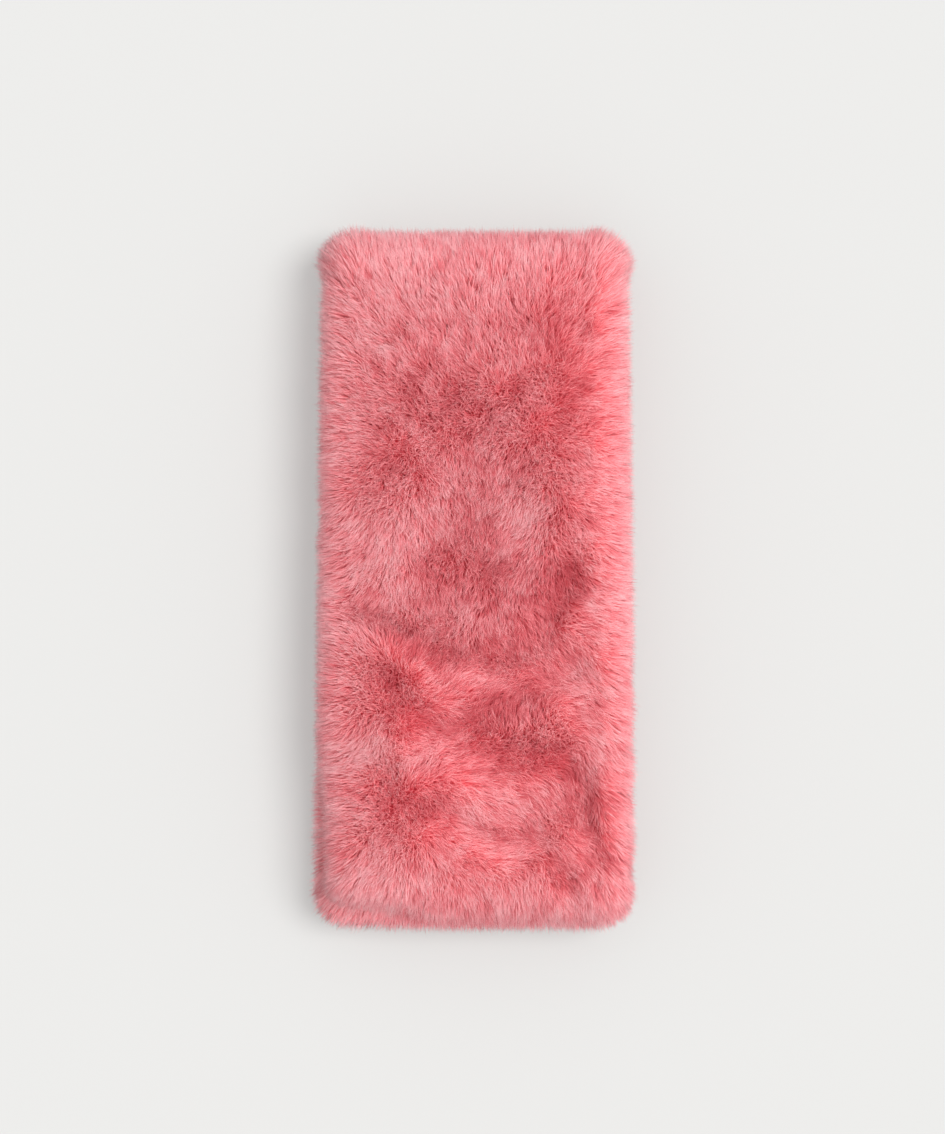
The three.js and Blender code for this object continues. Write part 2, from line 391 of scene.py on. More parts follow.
def comb_map():
    """The combing on a grid of whole millimetres. Where the locks part or meet, the pile stands up."""
    x, y = np.meshgrid(*(np.arange(-half, half + 1.0) for half in MAP_HALF))
    field = guided(x, y)
    parting = np.gradient(field[..., 0], axis=1) + np.gradient(field[..., 1], axis=0)
    spread = FIBRE_LENGTH / MM * (PARTED * np.maximum(parting, 0) + MEETING * np.maximum(-parting, 0))
    calm = (1 - OPEN_STAND * openness(x * MM, y * MM)) / (1 + 1.3 * spread)
    for _ in range(CALMING):
        for axis in (0, 1):
            calm = 0.5 * calm + 0.25 * (np.roll(calm, 1, axis) + np.roll(calm, -1, axis))
    return field * calm[..., None]


def combed(x, y):
    """The combing at points in metres, read from the map between its grid lines."""
    across = np.clip(x / MM + MAP_HALF[0], 0, 2 * MAP_HALF[0] - 1e-6)
    along = np.clip(y / MM + MAP_HALF[1], 0, 2 * MAP_HALF[1] - 1e-6)
    i, j = along.astype(int), across.astype(int)
    u, v = (across - j)[:, None], (along - i)[:, None]
    low = COMB_MAP[i, j] * (1 - u) + COMB_MAP[i, j + 1] * u
    high = COMB_MAP[i + 1, j] * (1 - u) + COMB_MAP[i + 1, j + 1] * u
    return low * (1 - v) + high * v


def wander(x, y):
    """Small drifts of the combing, so that neighbouring locks cross a little."""
    a = np.sin(x / 0.0041 + 1.3 * np.sin(y / 0.0063)) + np.sin((x + y) / 0.0029)
    b = np.sin(y / 0.0037 + 1.1 * np.sin(x / 0.0058)) + np.sin((x - y) / 0.0033)
    return 0.09 * np.stack([a, b], -1)


COMB_MAP = comb_map()


def groom(points, normals):
    """The direction that the pile is combed in at each root, as a 3-D vector in the surface."""
    x, y = points[:, 0], points[:, 1]
    plan = combed(x, y) + wander(x, y)
    under = smooth(-normals[:, 2], 0.3, 0.8)[:, None]
    outward = unit(np.stack([x / HALF_WIDTH, 0.6 * y / HALF_LENGTH], -1)) * OUTWARD_LEAN
    plan = plan * (1 - under) + outward * under
    full = np.concatenate([plan, np.full((len(x), 1), -SAG)], 1)
    return full - dot(full, normals) * normals


def turned(normals, combing, lift):
    """A unit direction that leaves the surface, leaning along the combing. lift scales the lean."""
    lean = np.linalg.norm(combing, axis=1, keepdims=True)
    angle = np.clip(lean * lift * FULL_LEAN, 0, MOST_LEAN)
    return np.cos(angle) * normals + np.sin(angle) * unit(combing)


def stray(vectors, normals, turn, sway):
    """The combing turned about the normal, and made a little flatter or steeper."""
    turn, sway = turn[:, None], sway[:, None]
    side = np.cross(normals, vectors)
    return (np.cos(turn) * vectors + np.sin(turn) * side) * (1 + sway)


# ---- Fibres ----

STATIONS = np.array([0.0, 0.4, 0.75, 1.0])
THINNING = np.array([1.0, 0.85, 0.6])
ROOT_LIFT, TIP_LIFT = 0.28, 0.90       # how much of its combing's lean a fibre has at its root and tip
MAP_STRIP = 0.004             # how wide a fibre lies on its colour map
STANDING_SHARE = 0.3          # how much of the relief's slopes the pile's own stand follows
FACING_SHARE = 1.1            # the same for the way that its surface faces the light
SOFT_SHADING = 0.62           # how far a fibre is shaded like the surface that the pile makes
ROUND_SHADING = 0.35          # how far that shading turns square to the fibre
GATHER = (0.08, 0.42)         # how far a fibre's tip is drawn to the middle of its wisp
RUFFLE = 0.5                  # how far single fibres of upright pile lean every way
TONE = 0.56                   # the pile's middle tone: 0 is the deepest dye, dimmed by painted shade, and 1 the palest
LEAST_TONE, MOST_TONE = 0.02, 0.97
OPEN_PAINTED_SHADE = 0.18              # how much painted shade darkens it in the open patches
CREASE_PAINTED_SHADE = 0.17            # how much painted shade darkens it for each millimetre of a crease
LEFT_PAINTED_SHEEN, RIGHT_PAINTED_SHEEN = 0.18, 0.08  # how much painted sheen makes it paler along the long edges
OPEN_TRIM = 0.12              # the share by which it is shorter in the open patches
CORNER_GROWTH = 0.22          # the share by which it is longer at the far corners

# How widely locks, wisps and single fibres stray from the groom (in radians and shares) and in tone.
LOCK_STRAY = {"turn": 0.26, "sway": 0.18, "tone": 0.13}
WISP_STRAY = {"turn": 0.24, "sway": 0.12, "tone": 0.22}
FIBRE_STRAY = {"turn": 0.15, "sway": 0.10, "tone": 0.14}


def path_of(points, normals, combing, lengths):
    """The points of each fibre's middle line, leaving the skin steeply and bending over."""
    first = turned(normals, combing, ROOT_LIFT)
    last = turned(normals, combing, TIP_LIFT)
    t = STATIONS[None, :, None]
    bend = t * t / 2
    return points[:, None] + lengths[:, None, None] * ((t - bend) * first[:, None] + bend * last[:, None])


def fibre_faces():
    """The triangles of one fibre, and where each corner lies on the colour map (across, along)."""
    faces, places = [(2, 1, 0)], [((0, 0), (1, 0), (0, 0.02))]
    rings = len(STATIONS) - 1
    for k in range(rings - 1):
        low, high = STATIONS[k], STATIONS[k + 1]
        for i in range(3):
            j = (i + 1) % 3
            a, b, c, d = 3 * k + i, 3 * k + j, 3 * k + 3 + j, 3 * k + 3 + i
            faces += [(a, b, c), (a, c, d)]
            places += [((0, low), (1, low), (1, high)), ((0, low), (1, high), (0, high))]
    for i in range(3):
        k = 3 * (rings - 1)
        faces.append((k + i, k + (i + 1) % 3, 3 * rings))
        places.append(((0, STATIONS[-2]), (1, STATIONS[-2]), (0.5, 1)))
    return np.array(faces), np.array(places, float)


FIBRE_FACES, FIBRE_PLACES = fibre_faces()
FIBRE_POINTS = 3 * (len(STATIONS) - 1) + 1


def fibre_mesh(name, lines, outward, widths, tones, rng):
    """One mesh of closed, tapered fibres. The map OFBake holds each corner's tone and height."""
    count = len(lines)
    tangents = unit(np.gradient(lines, axis=1))
    side = unit(np.cross(tangents, rng.normal(size=(count, 1, 3))))
    other = np.cross(tangents, side)
    rings = []
    for k in range(len(STATIONS) - 1):
        for i in range(3):
            turn = 2 * math.pi * i / 3
            reach = (widths * THINNING[k] / 2)[:, None]
            rings.append(lines[:, k] + reach * (math.cos(turn) * side[:, k] + math.sin(turn) * other[:, k]))
    points = np.stack([*rings, lines[:, -1]], 1)
    middles = np.repeat(lines[:, :-1], 3, axis=1)
    radial = np.concatenate([unit(points[:, :-1] - middles), tangents[:, -1:]], 1)
    along = np.concatenate([np.repeat(tangents[:, :-1], 3, axis=1), tangents[:, -1:]], 1)
    upward = unit(outward[:, None] - ROUND_SHADING * dot(outward[:, None], along) * along)
    shading = unit((1 - SOFT_SHADING) * radial + SOFT_SHADING * upward)
    points = points.reshape(-1, 3)
    faces = (FIBRE_FACES[None] + FIBRE_POINTS * np.arange(count)[:, None, None]).reshape(-1, 3)
    places = np.broadcast_to(FIBRE_PLACES, (count, *FIBRE_PLACES.shape)).copy()
    places[..., 0] = tones[:, FIBRE_FACES // 3] + MAP_STRIP * places[..., 0]
    piece = face_mesh(name, points, faces, places.reshape(-1, 2))
    piece.data.normals_split_custom_set_from_vertices(shading.reshape(-1, 3))
    return piece


def face_mesh(name, points, faces, places=None):
    mesh = bpy.data.meshes.new(name)
    mesh.vertices.add(len(points))
    mesh.vertices.foreach_set("co", points.astype(np.float32).ravel())
    mesh.loops.add(faces.size)
    mesh.loops.foreach_set("vertex_index", faces.astype(np.int32).ravel())
    mesh.polygons.add(len(faces))
    mesh.polygons.foreach_set("loop_start", np.arange(0, faces.size, faces.shape[1], dtype=np.int32))
    mesh.update(calc_edges=True)
    if places is not None:
        layer = mesh.uv_layers.new(name="OFBake")
        layer.uv.foreach_set("vector", places.astype(np.float32).ravel())
    mesh.shade_smooth()
    return shown(name, mesh)


def shown(name, mesh):
    piece = bpy.data.objects.new(name, mesh)
    bpy.context.scene.collection.objects.link(piece)
    return piece


def jittered(rng, size):
    """Roots scattered evenly over the backing, one in each cell of a grid: their s and their q."""
    rows, columns = round(AROUND / size), round(ACROSS / size)
    i, j = np.meshgrid(np.arange(rows), np.arange(columns), indexing="ij")
    s = (i + rng.uniform(0, 1, i.shape)) * AROUND / rows
    q = (j + rng.uniform(0, 1, j.shape)) * ACROSS / columns
    return s, q


def nearest(s, q, middle_s, middle_q):
    """The index of the lock or wisp whose middle lies nearest to each root."""
    rows, columns = middle_s.shape
    i = np.floor(s / AROUND * rows).astype(int)
    j = np.floor(q / ACROSS * columns).astype(int)
    best, index = np.full(len(s), np.inf), np.zeros(len(s), int)
    for di in (-1, 0, 1):
        for dj in (-1, 0, 1):
            a, b = (i + di) % rows, np.clip(j + dj, 0, columns - 1)
            gap = np.mod(middle_s[a, b] - s + AROUND / 2, AROUND) - AROUND / 2
            d = np.hypot(gap, middle_q[a, b] - q)
            closer = d < best
            best[closer], index[closer] = d[closer], (a * columns + b)[closer]
    return index


def density(normals):
    """The share of the fullest density that each root's neighbourhood has."""
    under = smooth(-normals[:, 2], 0.5, 0.95)
    return 1 - under * (1 - UNDER_DENSITY / TOP_DENSITY)


def lengths_for(points):
    """The pile's length: shorter over the open patches, and longer at the far corners, which it fills."""
    x, y = points[:, 0], points[:, 1]
    corner = smooth(np.abs(x), 0.032, 0.043) * smooth(y, 0.098, 0.108)
    return FIBRE_LENGTH * (1 - OPEN_TRIM * openness(x, y) + CORNER_GROWTH * corner)


def settled(lines, roots):
    """Fibres kept above the table, and on their own side of the slot along the long edges."""
    lines[..., 2] = np.maximum(lines[..., 2], FLOOR_GAP)
    straight = np.abs(roots[:, 1]) < FOLD
    above = straight & (roots[:, 2] > MIDDLE)
    below = straight & (roots[:, 2] <= MIDDLE)
    lines[above, :, 2] = np.maximum(lines[above, :, 2], MIDDLE + 0.15 * MM)
    lines[below, :, 2] = np.minimum(lines[below, :, 2], MIDDLE - 0.15 * MM)
    return lines


def shaded(tones, lines):
    """Each fibre's tone at each of its stations: darker with painted shade over the open patches and along
    the creases, darker or paler with the painted patches, and paler with painted sheen along the long
    edges.
    """
    x, y, z = np.moveaxis(lines, -1, 0)
    # Painted light and painted shade from the patches, and painted shade over the open patches and along
    # the creases.
    change = shade(x, y) - OPEN_PAINTED_SHADE * openness(x, y) - CREASE_PAINTED_SHADE * creased(x, y) / MM
    # Painted sheen: paler along the long edges, more on the left.
    paler = np.where(x < 0, LEFT_PAINTED_SHEEN, RIGHT_PAINTED_SHEEN) * smooth(np.abs(x), 0.034, 0.048)
    return np.clip(tones[:, None] + paler + change * (z > MIDDLE), LEAST_TONE, MOST_TONE)


def strays(rng, spread, count):
    """Random turns about the normal, sways and tones."""
    return {key: rng.normal(0, width, count) for key, width in spread.items()}


def ruffled(rng, combing, normals):
    """Where the pile stands up, its fibres lean every way, so that they still cover the backing."""
    lean = np.linalg.norm(combing, axis=1, keepdims=True)
    loose = rng.normal(size=combing.shape)
    loose = unit(loose - dot(loose, normals) * normals)
    return combing + RUFFLE * np.maximum(1 - lean, 0) * loose


def plan_wisps(rng):
    """The wisps that fibres gather in, each with its middle line. Wisps of one lock stray together."""
    s, q = jittered(rng, WISP_SIZE)
    lock_s, lock_q = jittered(rng, LOCK_SIZE)
    lock = nearest(s.ravel(), q.ravel(), lock_s, lock_q)
    of_lock, own = strays(rng, LOCK_STRAY, lock_s.size), strays(rng, WISP_STRAY, s.size)
    wisps = {key: of_lock[key][lock] + own[key] for key in own}
    points = on_backing(s.ravel(), q.ravel())
    normals = pile_normal(s.ravel(), q.ravel(), STANDING_SHARE)
    combing = stray(groom(points, normals), normals, wisps["turn"], wisps["sway"])
    combing = ruffled(rng, combing, normals)
    lengths = lengths_for(points) * rng.normal(1, 0.08, s.size)
    return wisps | {"s": s, "q": q, "length": lengths, "line": path_of(points, normals, combing, lengths)}


def plan_roots(rng):
    """Where the fibres leave the backing, and the way that the pile stands there."""
    s, q = (v.ravel() for v in jittered(rng, math.sqrt(1 / TOP_DENSITY) * MM))
    normals = pile_normal(s, q, STANDING_SHARE)
    kept = rng.uniform(0, 1, len(s)) < density(normals)
    bare = BARE_LIP + BARE_FOLD * np.cos(around(s)[1]) ** 2
    kept &= (q > bare) & (q < ACROSS - bare)
    return s[kept], q[kept], normals[kept]


def plan_fibres(rng):
    """Every fibre of the loop: its root, the way its pile faces, its middle line and its tones."""
    wisps = plan_wisps(rng)
    s, q, normals = plan_roots(rng)
    roots = on_backing(s, q)
    wisp = nearest(s, q, wisps["s"], wisps["q"])
    own = strays(rng, FIBRE_STRAY, len(s))
    turn, sway = (0.6 * wisps[key][wisp] + own[key] for key in ("turn", "sway"))
    combing = ruffled(rng, stray(groom(roots, normals), normals, turn, sway), normals)
    lengths = (lengths_for(roots) + wisps["length"][wisp]) / 2 * rng.normal(1, 0.07, len(s))
    lines = path_of(roots, normals, combing, lengths)
    gather = rng.uniform(*GATHER, len(s))[:, None] * STATIONS ** 1.2
    gather = gather * (1 - 0.6 * smooth(-normals[:, 2], -0.2, 0.5))[:, None]
    lines = lines + (wisps["line"][wisp] - lines) * gather[..., None]
    lines = settled(lines, roots)
    facing = pile_normal(s, q, FACING_SHARE)
    return roots, facing, lines, shaded(TONE + wisps["tone"][wisp] + own["tone"], lines)


def join_pile(piece, group):
    """Fibres on the flats ride on their own section. Those round a fold keep their placing in the mesh and
    ride on neither.
    """
    if group == "front_pile":
        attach(piece, FRONT)
    elif group == "back_pile":
        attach(piece, BACK)
    else:
        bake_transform(piece)


def make_pile(material):
    """The fibres, in pieces that lie side by side along the loop."""
    rng = np.random.default_rng(11)
    roots, facing, lines, tones = plan_fibres(rng)
    widths = FIBRE_WIDTH * rng.uniform(0.8, 1.2, len(roots))
    flat = np.abs(roots[:, 1]) < FOLD
    groups = {
        "front_pile": flat & (roots[:, 2] > MIDDLE),
        "back_pile": flat & (roots[:, 2] <= MIDDLE),
        "far_fold_pile": ~flat & (roots[:, 1] > 0),
        "near_fold_pile": ~flat & (roots[:, 1] < 0),
    }
    for group, members in groups.items():
        chosen = np.flatnonzero(members)
        chosen = chosen[np.argsort(roots[chosen, 1], kind="stable")]
        for n, part in enumerate(np.array_split(chosen, math.ceil(len(chosen) / MOST_FIBRES)), 1):
            piece = fibre_mesh(f"{group}_{n}", lines[part], facing[part], widths[part], tones[part], rng)
            piece.data.materials.append(material)
            join_pile(piece, group)


# ---- Materials ----

def new_material(name, roughness, sheen=0.0):
    material = bpy.data.materials.new(name)
    material.use_nodes = True
    shader = material.node_tree.nodes["Principled BSDF"]
    shader.inputs["Roughness"].default_value = roughness
    shader.inputs["Sheen Weight"].default_value = sheen
    shader.inputs["Specular IOR Level"].default_value = 0.3
    return material, material.node_tree.nodes, material.node_tree.links, shader


def ramp(nodes, links, source, stops):
    node = nodes.new("ShaderNodeValToRGB")
    links.new(source, node.inputs["Fac"])
    while len(node.color_ramp.elements) < len(stops):
        node.color_ramp.elements.new(0.5)
    for element, (position, colour) in zip(node.color_ramp.elements, stops):
        element.position = position
        element.color = (*colour, 1)
    return node.outputs["Color"]


def multiplied(nodes, links, colour, by):
    mix = nodes.new("ShaderNodeMix")
    mix.data_type = "RGBA"
    mix.blend_type = "MULTIPLY"
    mix.inputs[0].default_value = 1
    links.new(colour, mix.inputs[6])
    links.new(by, mix.inputs[7])
    return mix.outputs[2]


def bumped(nodes, links, shader, height, strength, distance):
    bump = nodes.new("ShaderNodeBump")
    bump.inputs["Strength"].default_value = strength
    bump.inputs["Distance"].default_value = distance
    links.new(height, bump.inputs["Height"])
    links.new(bump.outputs["Normal"], shader.inputs["Normal"])


# The dye from root to tip, for the deepest tone and the palest: (share of the fibre's length, colour).
DEEP_DYE = [
    (0.0, (0.85, 0.083, 0.105)), (0.45, (0.91, 0.110, 0.140)),
    (0.8, (0.94, 0.142, 0.175)), (1.0, (0.94, 0.200, 0.232)),
]
PALE_DYE = [
    (0.0, (0.92, 0.146, 0.168)), (0.45, (0.975, 0.29, 0.315)),
    (0.8, (0.98, 0.485, 0.515)), (1.0, (0.98, 0.65, 0.67)),
]
# Painted shade: the colour is dimmed at the lowest tones, as in the shadow between standing fibres.
PAINTED_SHADE_RAMP = [(0.0, (0.72, 0.72, 0.72)), (0.35, (0.95, 0.95, 0.95)), (0.6, (1, 1, 1))]
KNIT_DYE = [(0.3, (0.60, 0.04, 0.06)), (0.7, (0.80, 0.09, 0.12))]


def pile_material():
    """Fibres that are deep at the root and pale at the tip. The map's X is the tone, which also carries
    painted shade and painted light, and its Y the height.
    """
    material, nodes, links, shader = new_material("plush_pile", 0.62, 0.25)
    places = nodes.new("ShaderNodeUVMap")
    places.uv_map = "OFBake"
    split = nodes.new("ShaderNodeSeparateXYZ")
    links.new(places.outputs["UV"], split.inputs[0])
    deep = ramp(nodes, links, split.outputs["Y"], DEEP_DYE)
    pale = ramp(nodes, links, split.outputs["Y"], PALE_DYE)
    mix = nodes.new("ShaderNodeMix")
    mix.data_type = "RGBA"
    links.new(split.outputs["X"], mix.inputs[0])
    links.new(deep, mix.inputs[6])
    links.new(pale, mix.inputs[7])
    # Painted shade: the colour is dimmed at low tones.
    painted_shade = ramp(nodes, links, split.outputs["X"], PAINTED_SHADE_RAMP)
    links.new(multiplied(nodes, links, mix.outputs[2], painted_shade), shader.inputs["Base Color"])
    shader.inputs["Sheen Tint"].default_value = (1, 0.75, 0.76, 1)
    return material


def backing_material():
    """The knitted base under the pile: deep rose with a fine fuzz."""
    material, nodes, links, shader = new_material("pile_backing", 0.9, 0.2)
    coordinates = nodes.new("ShaderNodeTexCoord")
    noise = nodes.new("ShaderNodeTexNoise")
    noise.inputs["Scale"].default_value = 900
    noise.inputs["Detail"].default_value = 3
    links.new(coordinates.outputs["Object"], noise.inputs["Vector"])
    links.new(ramp(nodes, links, noise.outputs["Fac"], KNIT_DYE), shader.inputs["Base Color"])
    bumped(nodes, links, shader, noise.outputs["Fac"], 0.6, 0.0004)
    return material


def cloth_material(name, texture, settings, stops, roughness, sheen, depth):
    """A cloth whose weave or loops come from one repeating texture, over a broad, faint change of tone."""
    material, nodes, links, shader = new_material(name, roughness, sheen)
    coordinates = nodes.new("ShaderNodeTexCoord")
    weave = nodes.new(texture)
    for key, value in settings.items():
        if key in weave.inputs:
            weave.inputs[key].default_value = value
        else:
            setattr(weave, key, value)
    links.new(coordinates.outputs["Object"], weave.inputs["Vector"])
    height = weave.outputs.get("Fac") or weave.outputs["Distance"]
    colour = ramp(nodes, links, height, stops)
    broad = nodes.new("ShaderNodeTexNoise")
    broad.inputs["Scale"].default_value = 45
    links.new(coordinates.outputs["Object"], broad.inputs["Vector"])
    tone = ramp(nodes, links, broad.outputs["Fac"], [(0.3, (0.86, 0.84, 0.84)), (0.7, (1, 1, 1))])
    links.new(multiplied(nodes, links, colour, tone), shader.inputs["Base Color"])
    bumped(nodes, links, shader, height, 0.7, depth)
    return material


def towelling():
    return cloth_material(
        "rose_towelling", "ShaderNodeTexVoronoi", {"Scale": 780},
        [(0.0, (0.93, 0.42, 0.45)), (0.75, (0.72, 0.17, 0.21))], 0.92, 0.4, 0.0006,
    )


def fleece():
    return cloth_material(
        "white_fleece", "ShaderNodeTexNoise", {"Scale": 420, "Detail": 6.0},
        [(0.35, (0.72, 0.70, 0.67)), (0.65, (0.90, 0.89, 0.86))], 0.95, 0.3, 0.0008,
    )


def thread():
    return cloth_material(
        "rose_thread", "ShaderNodeTexWave", {"Scale": 1400, "bands_direction": "DIAGONAL"},
        [(0.2, (0.70, 0.14, 0.18)), (0.8, (0.93, 0.36, 0.40))], 0.55, 0.1, 0.00006,
    )


def webbing():
    return cloth_material(
        "white_elastic", "ShaderNodeTexWave", {"Scale": 262, "bands_direction": "X"},
        [(0.1, (0.60, 0.59, 0.57)), (0.7, (0.88, 0.87, 0.85))], 0.7, 0.1, 0.0002,
    )


def twill():
    return cloth_material(
        "rose_twill", "ShaderNodeTexWave", {"Scale": 900, "bands_direction": "DIAGONAL"},
        [(0.2, (0.62, 0.12, 0.16)), (0.8, (0.86, 0.28, 0.32))], 0.75, 0.15, 0.00012,
    )


def satin():
    return cloth_material(
        "white_satin", "ShaderNodeTexWave", {"Scale": 1100, "bands_direction": "Y"},
        [(0.1, (0.80, 0.79, 0.77)), (0.6, (0.93, 0.92, 0.90))], 0.4, 0.1, 0.00004,
    )


# ---- The cover that carries the pile ----

def ring_mesh(name, sections):
    """A closed ring from a grid of points: i goes round the loop, and j goes round each section."""
    rows, columns = sections.shape[:2]
    i, j = np.meshgrid(np.arange(rows), np.arange(columns), indexing="ij")
    a = (i * columns + j).ravel()
    b = (i * columns + (j + 1) % columns).ravel()
    c = ((i + 1) % rows * columns + (j + 1) % columns).ravel()
    d = ((i + 1) % rows * columns + j).ravel()
    return face_mesh(name, sections.reshape(-1, 3), np.stack([a, b, c, d], 1))


def loop_stations(straight_step, turn_steps):
    """Distances round the loop, evenly along the flats and finer round the folds."""
    flat = np.linspace(0, STRAIGHT, round(STRAIGHT / straight_step), endpoint=False)
    turn = np.linspace(0, TURN, turn_steps, endpoint=False)
    return np.concatenate([flat, STRAIGHT + turn, STRAIGHT + TURN + flat, 2 * STRAIGHT + TURN + turn])


def swept(section, s):
    """The points of a section carried round the loop through the distances s."""
    x = np.broadcast_to(section[:, 0], (len(s), len(section)))
    radius = np.broadcast_to(section[:, 1], (len(s), len(section)))
    return place(s[:, None] + 0 * x, x, radius)


def make_cover(material):
    """The plush cover's knitted base: one padded strip that goes all the way round the loop."""
    q = np.linspace(0, ACROSS, 76)
    outer = np.stack([np.interp(q, OUTLINE_AT, OUTLINE[:, k]) for k in (0, 1)], 1)
    wall = LIP_HALF + 0.2 * MM
    inner_x = np.linspace(wall, -wall, 36)
    inner = np.stack([inner_x, np.full(36, WADDING_RADIUS + 0.4 * MM)], 1)
    section = np.concatenate([outer, inner])
    cover = ring_mesh("plush_cover", swept(section, loop_stations(2.5 * MM, 22)))
    cover.data.materials.append(material)
    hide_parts("front_fur_panel", "back_fur_panel")
    join_loop(cover)


def closed_strip_mesh(name, sections):
    """A closed strip that ends at both sides: its section goes once round, so opposite corners pair up."""
    rows, columns = sections.shape[:2]
    i, j = np.meshgrid(np.arange(rows - 1), np.arange(columns), indexing="ij")
    a = (i * columns + j).ravel()
    b = (i * columns + (j + 1) % columns).ravel()
    sides = np.stack([a, b, b + columns, a + columns], 1)
    k = np.arange(columns // 2 - 1)
    first = np.stack([k + 1, k, columns - 1 - k, columns - 2 - k], 1)
    last = first[:, ::-1] + (rows - 1) * columns
    return face_mesh(name, sections.reshape(-1, 3), np.concatenate([sides, first, last]))


def flat_section(half_width, low, high, columns):
    """A thin section across the band with soft edges: along its outer face, then back along the inner."""
    x = np.linspace(-half_width, half_width, columns)
    edge = np.minimum(1, (half_width - np.abs(x)) / (0.7 * (high - low)) + 0.25)
    middle, thick = (low + high) / 2, (high - low) / 2 * np.sqrt(edge)
    outer = np.stack([x, middle + thick], 1)
    inner = np.stack([x, middle - thick], 1)[::-1]
    return np.concatenate([outer, inner])


def dress(node, material):
    """A CAD node that stays in view gets a finished material."""
    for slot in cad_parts[node].material_slots:
        slot.material = material


def join_loop(piece):
    """A piece that goes round both folds keeps its placing in its mesh and rides on neither section."""
    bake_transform(piece)


def make_lining(material):
    section = flat_section(LINING_HALF, LINING_RADIUS - LINING_THICKNESS, LINING_RADIUS, 44)
    lining = ring_mesh("towelling_lining", swept(section, loop_stations(2.5 * MM, 20)))
    lining.data.materials.append(material)
    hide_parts("front_lining", "back_lining")
    join_loop(lining)


def make_wadding(material):
    """The wadding between cover and lining, with a channel in the back section for the elastic."""
    section = flat_section(LIP_HALF - 0.4 * MM, LINING_RADIUS + 0.3 * MM, WADDING_RADIUS, 60)
    s = loop_stations(2.5 * MM, 20)
    x = np.broadcast_to(section[:, 0], (len(s), len(section)))
    radius = np.broadcast_to(section[:, 1], (len(s), len(section))).copy()
    y, angle = around(s)
    elastic_low, elastic_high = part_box("elastic_band")
    behind = (np.sin(angle) < -0.99) & (np.abs(y) < elastic_high.y + 2 * MM)
    under = np.abs(x) < elastic_high.x + 1 * MM
    channel = MIDDLE - elastic_low.z + 0.4 * MM
    radius = np.where(behind[:, None] & under, np.maximum(radius, channel), radius)
    wadding = ring_mesh("fibre_wadding", place(s[:, None] + 0 * x, x, radius))
    wadding.data.materials.append(material)
    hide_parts("front_wadding", "back_wadding")
    join_loop(wadding)


def thread_mesh(name, starts, ends, outward, width):
    """Short stitches: closed bent tubes that leave the cloth at one end and dip into it at the other."""
    sides, rings = 6, 5
    t = np.linspace(0, 1, rings)[None, :, None]
    along = ends - starts
    middle = starts[:, None] + along[:, None] * t + outward[:, None] * (width * 0.9 * np.sin(math.pi * t))
    across = unit(np.cross(outward, along))[:, None]
    reach = (width / 2) * np.sqrt(1 - 0.8 * (2 * t - 1) ** 2)
    turn = 2 * math.pi * np.arange(sides) / sides
    ring = [middle + reach * (math.cos(a) * across + math.sin(a) * outward[:, None]) for a in turn]
    points = np.stack(ring, 2).reshape(len(starts), rings * sides, 3)
    faces = []
    for k in range(rings - 1):
        for i in range(sides):
            a, b = k * sides + i, k * sides + (i + 1) % sides
            faces += [(a, b, b + sides), (a, b + sides, a + sides)]
    last = (rings - 1) * sides
    for i in range(1, sides - 1):
        faces += [(0, i + 1, i), (last, last + i, last + i + 1)]
    faces = np.array(faces)[None] + (rings * sides) * np.arange(len(starts))[:, None, None]
    return face_mesh(name, points.reshape(-1, 3), faces.reshape(-1, 3))


def towards_slot(s):
    """The directions from the lining into the slot at distances s round the loop."""
    angle = around(s)[1]
    return np.stack([0 * s, -np.cos(angle), -np.sin(angle)], 1)


def make_seam(edge_name, edge, material):
    """Slanted overcast stitches that hold the lining to the cover along one long edge."""
    count = round(AROUND / STITCH_PITCH)
    s = np.arange(count) * AROUND / count
    inner = place(s, np.full(count, edge * (LINING_HALF - 0.7 * MM)), np.full(count, 3.55 * MM))
    outer = place(s + 1.3 * MM, np.full(count, edge * (LIP_HALF + 0.5 * MM)), np.full(count, LIP_RADIUS))
    seam = thread_mesh(f"{edge_name}_seam_stitches", inner, outer, towards_slot(s), STITCH_WIDTH)
    seam.data.materials.append(material)
    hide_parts(f"front_{edge_name}_seam_thread", f"back_{edge_name}_seam_thread")
    join_loop(seam)


def make_join_stitches(end_name, end, material):
    """The row of stitches under the pile that joins the front and back covers at a fold."""
    count = round(1.9 * BACKING_HALF / STITCH_PITCH)
    x = np.linspace(-0.95, 0.95, count) * BACKING_HALF * 0.9
    s = STRAIGHT + TURN / 2 if end > 0 else 2 * STRAIGHT + 1.5 * TURN
    radius = np.full(count, BACKING_RADIUS - 0.1 * MM)
    starts = place(np.full(count, s - 0.8 * MM), x, radius)
    ends = place(np.full(count, s + 0.8 * MM), x + 1.0 * MM, radius)
    outward = np.tile((0.0, end, 0.0), (count, 1))
    row = thread_mesh(f"{end_name}_join_stitches", starts, ends, outward, STITCH_WIDTH)
    row.data.materials.append(material)
    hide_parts(f"{end_name}_join_thread")
    join_loop(row)


def make_join_tape(end_name, end, tape_material, thread_material):
    """A twill tape over the lining's join at a fold, stitched down along both of its ends."""
    low, high = TAPE_RADII
    start = STRAIGHT if end > 0 else 2 * STRAIGHT + TURN
    first_lap = np.linspace(-TAPE_LAP, 0, 6, endpoint=False)
    last_lap = np.linspace(TURN, TURN + TAPE_LAP, 7)[1:]
    s = start + np.concatenate([first_lap, np.linspace(0, TURN, 19), last_lap])
    tape = closed_strip_mesh(f"{end_name}_twill_tape", swept(flat_section(TAPE_HALF, low, high, 30), s))
    tape.data.materials.append(tape_material)
    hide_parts(f"{end_name}_join_tape")
    join_loop(tape)
    for side_name, side in (("lower", 1), ("upper", -1)):
        at = start + TURN / 2 + side * (TURN / 2 + TAPE_LAP - 1.4 * MM)
        make_tape_stitches(f"{end_name}_{side_name}_tape_stitches", at, thread_material)


